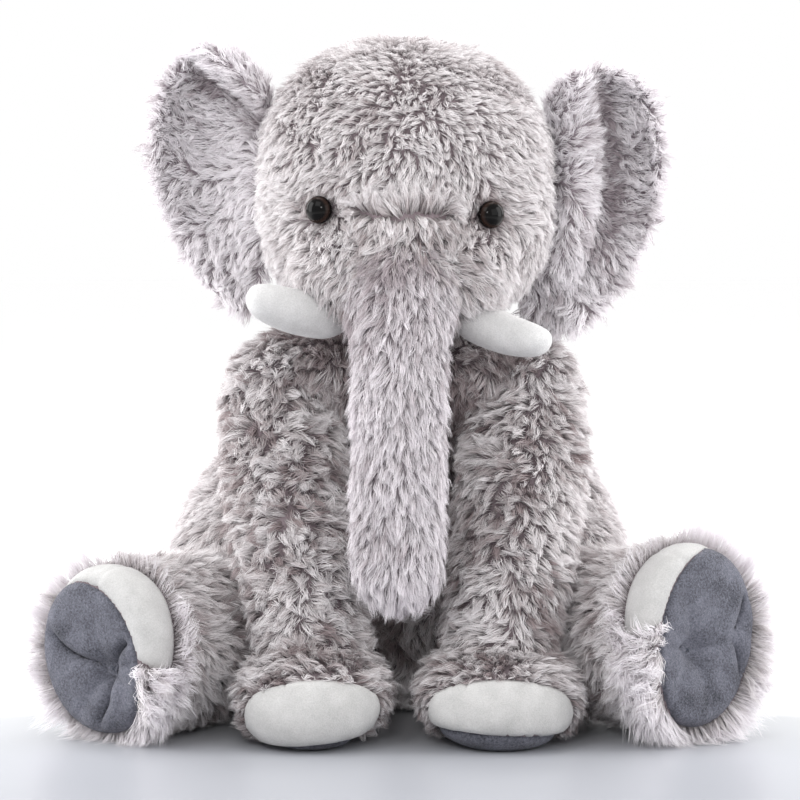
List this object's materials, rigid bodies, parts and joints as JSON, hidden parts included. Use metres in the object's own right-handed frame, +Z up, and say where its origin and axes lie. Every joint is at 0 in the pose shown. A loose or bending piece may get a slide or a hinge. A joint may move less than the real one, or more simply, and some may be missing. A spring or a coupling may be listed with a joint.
{
  "type": "stuffed elephant",
  "caption": "Seated long-pile plush elephant with a hanging trunk, felt tusks, cupped ears and limbs that swing at their sewn roots.",
  "frame": {"origin": "on the surface it sits on, under the middle of its bounding box", "axes": "+Z up, the face looks along -Y, +X is the elephant's own left side"},
  "size_m": [0.4506, 0.3536, 0.443],
  "materials": {
    "grey_plush": "long-pile plush, soft matt",
    "pale_plush": "long-pile plush, paler grey, soft matt",
    "white_fleece": "short-pile velboa, soft matt",
    "slate_fleece": "short napped fleece, matt",
    "fibre_fill": "loose polyester fibre",
    "eye_plastic": "polished black",
    "washer_plastic": "plain moulded",
    "thread": "matt thread",
    "satin_label": "blank satin"
  },
  "bodies": {
    "torso": {"torso_skin": "grey_plush", "torso_stuffing": "fibre_fill", "care_label": "satin_label"},
    "head": {"head_skin": "grey_plush", "head_stuffing": "fibre_fill", "eye_right": "eye_plastic", "eye_left": "eye_plastic", "eye_washer_right": "washer_plastic", "eye_washer_left": "washer_plastic", "tusk_right_skin": "white_fleece", "tusk_right_stuffing": "fibre_fill", "tusk_left_skin": "white_fleece", "tusk_left_stuffing": "fibre_fill"},
    "trunk_upper": {"trunk_upper_skin": "pale_plush", "trunk_upper_stuffing": "fibre_fill"},
    "trunk_lower": {"trunk_lower_skin": "pale_plush", "trunk_lower_stuffing": "fibre_fill"},
    "tail": {"tail_skin": "grey_plush", "tail_tuft": "pale_plush"},
    "ear_right": {"ear_right_front_panel": "pale_plush", "ear_right_back_panel": "grey_plush"},
    "arm_right": {"arm_right_skin": "grey_plush", "arm_right_stuffing": "fibre_fill", "arm_right_toe_panel": "white_fleece", "arm_right_sole": "slate_fleece"},
    "leg_right": {"leg_right_skin": "grey_plush", "leg_right_stuffing": "fibre_fill", "leg_right_toe_panel": "white_fleece", "leg_right_sole": "slate_fleece", "leg_right_dimple_thread": "thread"},
    "ear_left": {"ear_left_front_panel": "pale_plush", "ear_left_back_panel": "grey_plush"},
    "arm_left": {"arm_left_skin": "grey_plush", "arm_left_stuffing": "fibre_fill", "arm_left_toe_panel": "white_fleece", "arm_left_sole": "slate_fleece"},
    "leg_left": {"leg_left_skin": "grey_plush", "leg_left_stuffing": "fibre_fill", "leg_left_toe_panel": "white_fleece", "leg_left_sole": "slate_fleece", "leg_left_dimple_thread": "thread"}
  },
  "joints": [
    {"name": "head_tilt", "type": "hinge", "parent": "torso", "child": "head", "pos_m": [-0.0004, 0.0072, 0.215], "axis": [-1, 0, 0], "range_deg": [0, 14]},
    {"name": "trunk_lift", "type": "hinge", "parent": "head", "child": "trunk_upper", "pos_m": [0.0006, -0.1088, 0.292], "axis": [-1, 0, 0], "range_deg": [0, 45], "stiffness_Nm_per_rad": 0.35},
    {"name": "trunk_curl", "type": "hinge", "parent": "trunk_upper", "child": "trunk_lower", "pos_m": [-0.0004, -0.1328, 0.196], "axis": [-1, 0, 0], "range_deg": [0, 45], "stiffness_Nm_per_rad": 0.12},
    {"name": "ear_right_flap", "type": "hinge", "parent": "head", "child": "ear_right", "pos_m": [-0.0934, -0.0008, 0.352], "axis": [0, 0, -1], "range_deg": [-12, 25], "stiffness_Nm_per_rad": 0.06},
    {"name": "ear_left_flap", "type": "hinge", "parent": "head", "child": "ear_left", "pos_m": [0.1006, -0.0008, 0.344], "axis": [0, 0, 1], "range_deg": [-12, 25], "stiffness_Nm_per_rad": 0.06},
    {"name": "arm_right_swing", "type": "hinge", "parent": "torso", "child": "arm_right", "pos_m": [-0.0779, -0.0208, 0.215], "axis": [-0.8761, 0.4821, 0], "range_deg": [0, 40]},
    {"name": "arm_left_swing", "type": "hinge", "parent": "torso", "child": "arm_left", "pos_m": [0.0821, -0.0208, 0.215], "axis": [-0.8761, -0.4821, 0], "range_deg": [0, 40]},
    {"name": "leg_right_splay", "type": "hinge", "parent": "torso", "child": "leg_right", "pos_m": [-0.1084, -0.0128, 0.058], "axis": [0, 0, -1], "range_deg": [0, 18]},
    {"name": "leg_left_splay", "type": "hinge", "parent": "torso", "child": "leg_left", "pos_m": [0.1076, -0.0128, 0.06], "axis": [0, 0, 1], "range_deg": [0, 18]},
    {"name": "tail_wag", "type": "hinge", "parent": "torso", "child": "tail", "pos_m": [-0.0004, 0.1392, 0.078], "axis": [0, 1, 0], "range_deg": [-25, 25], "stiffness_Nm_per_rad": 0.02}
  ],
  "couplings": [
    {"joint": "trunk_curl", "follows": "trunk_lift", "ratio": 1}
  ]
}
